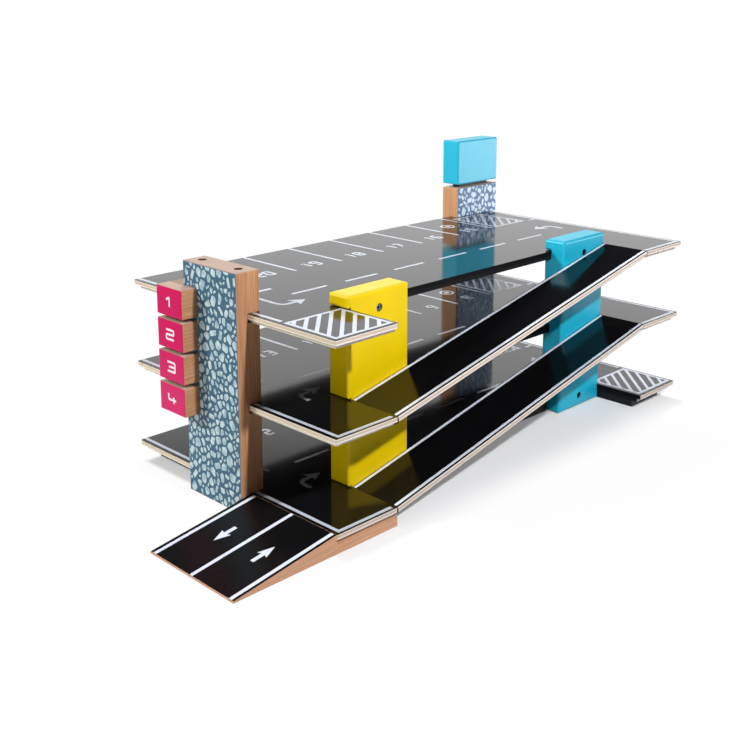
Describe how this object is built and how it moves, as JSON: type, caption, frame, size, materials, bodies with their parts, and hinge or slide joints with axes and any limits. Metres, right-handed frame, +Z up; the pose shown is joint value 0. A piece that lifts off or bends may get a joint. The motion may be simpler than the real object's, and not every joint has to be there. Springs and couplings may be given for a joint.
{
  "type": "toy parking garage",
  "caption": "Toy parking garage: stacked plywood decks with parking bays, sloping ramps, an entry wedge, painted pillars and timber towers with a plug-in cap.",
  "frame": {"origin": "middle of the part's bounding box, on the floor that the plinth, pillars and towers stand on", "axes": "+X to the right along the decks, from the entry wedge to the rear tower; +Y to the back, away from the ramps; +Z up"},
  "size_m": [0.609, 0.279, 0.26],
  "materials": {
    "printed_deck": "black printed plywood, glossy",
    "printed_ramp": "black printed plywood and solid wood, glossy on top",
    "plywood": "clear varnish, satin",
    "black_paint": "black paint, satin",
    "timber": "clear varnish, satin",
    "yellow_paint": "yellow paint, satin",
    "cyan_paint": "cyan paint, satin",
    "sign_paint": "pink printed face on natural wood, satin",
    "screw_steel": "bright zinc",
    "black_plastic": "moulded, matt"
  },
  "bodies": {
    "garage": {"deck_1_top": "printed_deck", "deck_2_top": "printed_deck", "deck_3_top": "printed_deck", "deck_1_base": "plywood", "deck_2_base": "plywood", "deck_3_base": "plywood", "plinth_front": "black_paint", "plinth_back": "black_paint", "plinth_left": "black_paint", "plinth_right": "black_paint", "front_tower": "timber", "rear_tower": "timber", "yellow_pillar": "yellow_paint", "cyan_pillar": "cyan_paint", "yellow_pillar_screws": "screw_steel", "cyan_pillar_screws": "screw_steel", "sign_block_1": "sign_paint", "sign_block_2": "sign_paint", "sign_block_3": "sign_paint", "sign_block_4": "sign_paint", "sign_dowels": "timber"},
    "lower_ramp": {"lower_ramp": "printed_ramp"},
    "upper_ramp": {"upper_ramp": "printed_ramp"},
    "entry_ramp": {"entry_ramp": "printed_ramp"},
    "cap": {"tower_cap": "cyan_paint", "cap_connector": "black_plastic"}
  },
  "joints": [
    {"name": "lower_ramp_slide", "type": "slide", "parent": "garage", "child": "lower_ramp", "axis": [0, -1, 0], "range_m": [0, 0.07]},
    {"name": "upper_ramp_slide", "type": "slide", "parent": "garage", "child": "upper_ramp", "axis": [0, -1, 0], "range_m": [0, 0.07]},
    {"name": "entry_ramp_slide", "type": "slide", "parent": "garage", "child": "entry_ramp", "axis": [-1, 0, 0], "range_m": [0, 0.075]},
    {"name": "cap_lift", "type": "slide", "parent": "garage", "child": "cap", "axis": [0, 0, 1], "range_m": [0, 0.05]}
  ]
}
